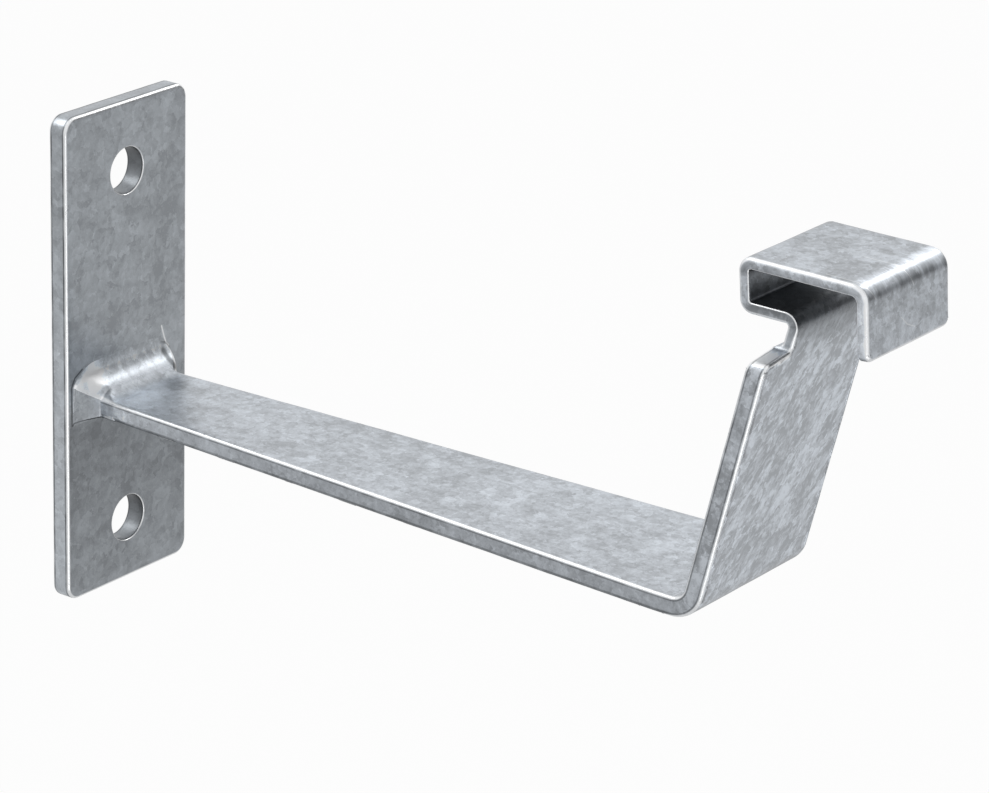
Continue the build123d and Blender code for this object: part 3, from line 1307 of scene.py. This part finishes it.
def seam_group() -> None:
    """Makes the shader group that marks what lies near a straight line, seen along the arm."""
    made = shader_tree("seam_line", {"Vector": None, "From": None, "To": None, "Width": 0.0004}, ["Mask"])
    given = made.add("NodeGroupInput").outputs
    run = made.vector("SUBTRACT", given["To"], given["From"])
    level = made.vector("MULTIPLY", given["Vector"], (0.0, 1.0, 1.0))
    ahead = made.vector("SUBTRACT", level, given["From"])
    length = made.measure("DOT_PRODUCT", run, run)
    share = made.clamped(made.math("DIVIDE", made.measure("DOT_PRODUCT", ahead, run), length))
    away = made.measure("LENGTH", made.vector("SUBTRACT", ahead, made.scaled(run, share)))
    near = made.math("DIVIDE", away, given["Width"])
    made.add("NodeGroupOutput", {"Mask": made.ramp(near, 1.0, 0.25)})


@dataclass(frozen=True)
class LineMark:
    """Fine line painted on the metal, seen along the arm: its points (y, z) and width in millimetres.

    It marks only what lies beyond a distance from the wall.
    """

    points: Stops
    width: float
    beyond: float = 4.6

    def mask(self, made: NodeMaker, where: NodeSocket) -> NodeSocket:
        """Adds the nodes that mark the line.

        Args:
            made: maker of the material's nodes.
            where: position on the piece.

        Returns:
            One on the line and zero away from it.
        """
        ends = [(0.0, y * MM, z * MM) for y, z in self.points]
        parts = []
        for start, end in zip(ends, ends[1:]):
            sockets = {"Vector": where, "From": start, "To": end, "Width": self.width * MM}
            parts.append(made.group("seam_line", sockets).outputs[0])
        past = made.math("GREATER_THAN", made.axis(where, "X"), self.beyond * MM)
        return made.math("MULTIPLY", made.total(parts, "MAXIMUM"), past)


@dataclass(frozen=True)
class ZincFinish:
    """Dull hot-dip zinc, in linear colour, with its pattern, rims, marks and painted light and shade.

    Light and dark are the pattern's two colours, and the far ones replace them past the weld's toe.
    Contrast is the pattern's strength, with what the upstand and the hook add to it. Wear, line and
    outline are the strengths of the bright rims (wear and painted highlight), of the painted dark
    reflections beside them and of the painted dark contour. Edge is the rims' colour, and the line
    colour that of every painted dark line. Side is the painted light or shade of plain sides. The
    marks are painted shadow lines, and bright lines that are painted highlights or light cracks, each
    kind with its strength. The pairs are distances in metres between which a change runs.
    """

    name: str
    light: tuple[float, float, float]
    dark: tuple[float, float, float]
    far_light: tuple[float, float, float] | None = None
    far_dark: tuple[float, float, float] | None = None
    edge: tuple[float, float, float] = (0.86, 0.87, 0.88)
    roughness: float = 0.36
    patch: float = 0.0056
    contrast: float = 1.0
    upstand: float = 0.0
    hook: float = 0.0
    calm: float = 0.85
    wear_and_highlight: float = 0.5
    line: float = 0.6
    outline: float = 0.5
    line_end: float = 1.0
    side: float = 1.0
    # Painted shadow lines and their strength
    painted_shadows: tuple[LineMark, ...] = ()
    painted_shadow: float = 0.7
    # Bright lines (painted highlights and light cracks) and their strength
    highlights_and_cracks: tuple[LineMark, ...] = ()
    crest: float = 0.8
    toe: tuple[float, float] = (0.0054, 0.009)
    upstand_from: tuple[float, float] = (0.158, 0.168)
    hook_from: tuple[float, float] = (0.222, 0.228)
    painted_dark_colour: tuple[float, float, float] = (0.03, 0.032, 0.034)

    def metal(self, made: NodeMaker, tone: NodeSocket, where: NodeSocket) -> NodeSocket:
        """Colour of the zinc before its rims and painted lines; it can change from the weld's toe outwards.

        Args:
            made: maker of the material's nodes.
            tone: the zinc pattern.
            where: position on the piece.

        Returns:
            The colour.
        """
        colour = made.blend(tone, (*self.dark, 1), (*self.light, 1))
        if self.far_light is None:
            return colour
        outer = made.blend(tone, (*self.far_dark, 1), (*self.far_light, 1))
        return made.blend(made.ramp(made.axis(where, "X"), *self.toe), colour, outer)

    def build(self) -> Material:
        """Makes the material.

        Returns:
            The material.
        """
        material = bpy.data.materials.new(self.name)
        material.use_nodes = True
        made = NodeMaker(material.node_tree)
        where = made.add("ShaderNodeTexCoord").outputs["Object"]
        laid = made.attribute(Attr.GRAIN).outputs["Vector"]
        station, rim_round, shade = (
            made.attribute(attr).outputs["Fac"] for attr in (Attr.STATION, Attr.ROUND, Attr.SHADE)
        )
        # Pattern: stronger on the upstand, weaker on the hook and along the sides
        on_upstand = made.ramp(station, *self.upstand_from, 0.0, self.upstand)
        on_hook = made.ramp(station, *self.hook_from, 0.0, self.hook)
        contrast = made.math("ADD", made.math("ADD", on_upstand, self.contrast), on_hook)
        contrast = made.math("MULTIPLY", contrast, made.ramp(rim_round, 0.3, 0.9, 1.0, self.calm))
        sockets = {"Vector": laid, "Size": self.patch, "Contrast": contrast}
        pattern = made.group("zinc_spangle", sockets).outputs
        grain = made.math("SUBTRACT", pattern["Grain"], 0.5)
        tone = made.clamped(made.math("MULTIPLY_ADD", grain, 0.5, pattern["Tone"]))
        # Colour: painted light and shade, rims bright with wear and painted highlight, painted dark lines
        # Painted light and shade: the SHADE attribute, and the tone of plain sides
        shade = made.math("MULTIPLY", shade, made.ramp(rim_round, 0.7, PLAIN_SIDE, 1.0, self.side))
        colour = made.scaled(self.metal(made, tone, where), shade)
        colour = made.vector("MINIMUM", colour, self.edge)
        rim = made.group("rim_highlight_and_wear", {"Vector": where, "Round": rim_round}).outputs
        bright = made.math("MULTIPLY", rim["Bright"], self.wear_and_highlight)
        lined = made.ramp(station, self.line_end + MM, self.line_end - MM, 0.0, self.line)
        dark = made.math("MULTIPLY", rim["Dark"], lined)
        # Painted shadow lines
        for painted_shadow in self.painted_shadows:
            marked = made.math("MULTIPLY", painted_shadow.mask(made, where), self.painted_shadow)
            dark = made.math("MAXIMUM", dark, marked)
        # Bright lines: painted highlights along the weld's far crest, and light cracks across the hook's bend
        for crest in self.highlights_and_cracks:
            marked = made.math("MULTIPLY", crest.mask(made, where), self.crest)
            bright = made.math("MAXIMUM", bright, marked)
        colour = made.blend(bright, colour, (*self.edge, 1))
        # Painted dark contour where the surface turns away from the view
        away = made.add("ShaderNodeLayerWeight", {"Blend": 0.5}).outputs["Facing"]
        dark = made.math("MAXIMUM", dark, made.ramp(away, 0.8, 0.97, 0.0, self.outline))
        colour = made.blend(dark, colour, (*self.painted_dark_colour, 1))
        # Surface: rougher where the pattern is light, smoother on the rims
        rough = made.math("MULTIPLY_ADD", tone, 0.1, self.roughness - 0.05)
        rough = made.math("MULTIPLY_ADD", bright, -0.05, rough)
        height = made.math("MULTIPLY_ADD", pattern["Grain"], 0.25, pattern["Tone"])
        relief = {"Height": height, "Strength": 0.35, "Distance": 0.00008}
        bump = made.add("ShaderNodeBump", relief).outputs[0]
        sockets = {"Base Color": colour, "Roughness": rough, "Metallic": 1.0, "Normal": bump}
        shader = made.add("ShaderNodeBsdfPrincipled", sockets)
        made.add("ShaderNodeOutputMaterial", {"Surface": shader.outputs[0]})
        return material


# Painted shadow in the gap along the weld's near toe
NEAR_GAP_SHADOW = LineMark(((-18.4, -13.6), (-18.45, -4.6), (-17.4, -2.6), (-15.0, -1.2)), 0.35)
# Painted highlight along the weld's far crest
FAR_CREST_HIGHLIGHT = LineMark(((11.4, 1.8), (12.3, -1.0), (13.5, -3.9), (13.0, -6.2), (12.3, -8.5)), 0.34)
FAR_SHADOW = LineMark(((11.2, -3.9), (11.5, -5.6), (12.1, -7.0), (12.9, -8.1)), 1.15)
# Light cracks across the hook's bend
BEND_CRACKS = tuple(
    LineMark(points, 0.16, 190.0)
    for points in (
        ((4.5, 62.6), (5.0, 61.3), (6.2, 58.8)),
        ((-9.1, 62.6), (-8.6, 61.4), (-7.4, 59.4)),
        ((1.5, 53.5), (3.6, 51.6), (6.4, 50.4)),
    )
)

PLATE_ZINC = ZincFinish(
    "plate_zinc", (0.485, 0.517, 0.55), (0.292, 0.31, 0.33), patch=0.008, wear_and_highlight=0.85, line=0.8, side=1.35,
    painted_shadows=(NEAR_GAP_SHADOW, FAR_SHADOW), highlights_and_cracks=(FAR_CREST_HIGHLIGHT,)
)
STRAP_ZINC = ZincFinish(
    "strap_zinc", (0.64, 0.68, 0.73), (0.35, 0.37, 0.395), contrast=0.95, upstand=0.65, hook=-0.35,
    wear_and_highlight=0.75, line_end=0.224, side=0.8, highlights_and_cracks=BEND_CRACKS, crest=0.5
)
WELD_ZINC = ZincFinish(
    "weld_zinc", PLATE_ZINC.light, PLATE_ZINC.dark, STRAP_ZINC.light, STRAP_ZINC.dark, contrast=1.2,
    wear_and_highlight=0.9, line=0.95, outline=0.0, painted_shadows=(NEAR_GAP_SHADOW, FAR_SHADOW), highlights_and_cracks=(FAR_CREST_HIGHLIGHT,)
)


@dataclass(frozen=True)
class Lamp:
    """Square soft light: where it stands, seen from the object, and its size and power."""

    name: str
    towards: tuple[float, float, float]
    size: float
    power: float
    distance: float = 0.9


@dataclass
class Studio:
    """Floor, lights and camera. Sizes are in metres and the camera's angles in degrees."""

    azimuth: float = 36.151
    elevation: float = 20.936
    roll: float = 1.791
    target: tuple[float, float, float] = (0.1, 0.00837, 0.00974)
    distance: float = 0.87642
    focal_pixels: float = 4173.0
    image_width: float = 989.0
    sensor: float = 36.0
    floor_height: float = -0.75
    floor_reach: float = 8.0
    screen_way: tuple[float, float, float] = (0.64, 0.77, 0.0)
    lamps: tuple[Lamp, ...] = (
        Lamp("over_left", (-0.551, -0.357, 0.754), 0.5, 1.5),
        Lamp("low_right", (0.70, -0.50, -0.46), 0.4, 0.8),
        Lamp("back_top", (0.16, 0.754, 0.62), 0.34, 1.3),
    )

    def camera(self) -> None:
        """Places the camera at the photo's viewing angle."""
        az, el, ro = (math.radians(a) for a in (self.azimuth, self.elevation, self.roll))
        back = Vector((math.sin(az) * math.cos(el), -math.cos(az) * math.cos(el), math.sin(el)))
        right = Vector((math.cos(az), math.sin(az), 0.0))
        up = back.cross(right)
        across = math.cos(ro) * right + math.sin(ro) * up
        upward = math.cos(ro) * up - math.sin(ro) * right
        data = bpy.data.cameras.new("camera")
        data.sensor_width = self.sensor
        data.lens = self.focal_pixels * self.sensor / self.image_width
        data.clip_start = 0.01
        camera = linked("camera", data)
        turn = Matrix((across, upward, back)).transposed().to_4x4()
        camera.matrix_world = Matrix.Translation(Vector(self.target) + back * self.distance) @ turn
        bpy.context.scene.camera = camera

    def light(self, lamp: Lamp) -> None:
        """Adds a lamp that points at the object.

        Args:
            lamp: the lamp.
        """
        data = bpy.data.lights.new(lamp.name, "AREA")
        data.energy, data.size = lamp.power, lamp.size
        light = linked(lamp.name, data)
        way = Vector(lamp.towards).normalized()
        turn = way.to_track_quat("Z", "Y").to_matrix().to_4x4()
        light.matrix_world = Matrix.Translation(Vector(self.target) + way * lamp.distance) @ turn

    def floor(self) -> None:
        """Adds the plain pale floor."""
        mesh = bpy.data.meshes.new("floor")
        reach, height = self.floor_reach, self.floor_height
        signs = ((-1, -1), (1, -1), (1, 1), (-1, 1))
        mesh.from_pydata([(x * reach, y * reach, height) for x, y in signs], [], [[0, 1, 2, 3]])
        floor = linked("floor", mesh)
        material = bpy.data.materials.new("floor_white")
        material.use_nodes = True
        made = NodeMaker(material.node_tree)
        diffuse = made.add("ShaderNodeBsdfDiffuse", {"Color": (0.9, 0.9, 0.9, 1)}).outputs[0]
        path = made.add("ShaderNodeLightPath").outputs
        strength = made.math("MULTIPLY_ADD", path["Is Glossy Ray"], -0.2, 1.0)
        glow = made.add("ShaderNodeEmission", {"Color": (1, 1, 1, 1), "Strength": strength}).outputs[0]
        seen = made.math("MAXIMUM", path["Is Camera Ray"], path["Is Glossy Ray"])
        share = made.math("MULTIPLY", seen, 0.95)
        mixed = made.add("ShaderNodeMixShader", {0: share, 1: diffuse, 2: glow}).outputs[0]
        made.add("ShaderNodeOutputMaterial", {"Surface": mixed})
        mesh.materials.append(material)

    def surroundings(self) -> None:
        """Adds the white surroundings, with a darker screen low behind the object for its reflections."""
        world = bpy.data.worlds.new("studio")
        bpy.context.scene.world = world
        world.use_nodes = True
        made = NodeMaker(world.node_tree)
        way = made.add("ShaderNodeTexCoord").outputs["Generated"]
        facing = made.measure("DOT_PRODUCT", way, self.screen_way)
        low = made.ramp(made.axis(way, "Z"), 0.42, 0.3)
        screen = made.math("MULTIPLY", low, made.ramp(facing, 0.8, 0.9))
        reflected = made.math("MULTIPLY_ADD", screen, -0.78, 1.0)
        path = made.add("ShaderNodeLightPath").outputs
        soft = made.math("MULTIPLY_ADD", path["Is Camera Ray"], 0.4, 0.6)
        sockets = {0: path["Is Glossy Ray"], 2: soft, 3: reflected}
        mixed = made.add("ShaderNodeMix", sockets, data_type="FLOAT").outputs[0]
        backdrop = made.add("ShaderNodeBackground", {"Color": (1, 1, 1, 1), "Strength": mixed}).outputs[0]
        made.add("ShaderNodeOutputWorld", {"Surface": backdrop})

    def build(self) -> None:
        """Sets up the whole studio."""
        self.camera()
        self.floor()
        self.surroundings()
        for lamp in self.lamps:
            self.light(lamp)


def put(piece: Object, node: str) -> None:
    """Hands a finished piece to the frame.

    Args:
        piece: the piece.
        node: the solid that it stands for.
    """
    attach(piece, "root")
    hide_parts(node)
    log.info("%s: %d faces, stands for %s", piece.name, len(piece.data.polygons), node)


def main() -> None:
    """Builds the studio and the pieces in order."""
    logging.basicConfig(level=logging.INFO, format="%(name)s %(message)s")
    bpy.context.scene.view_settings.view_transform = "Standard"
    Studio().build()
    for group in (fold_group, skin_group, facet_group, spangle_group, rim_group, seam_group):
        group()
    made_in_order = (
        (WallPlate(), PLATE_ZINC, "wall_plate"),
        (HookStrap(), STRAP_ZINC, "hook_strap"),
        (RootWeld(), WELD_ZINC, "root_weld"),
    )
    for maker, finish, node in made_in_order:
        put(maker.build(finish.build()), node)


if __name__ == "__main__":
    main()
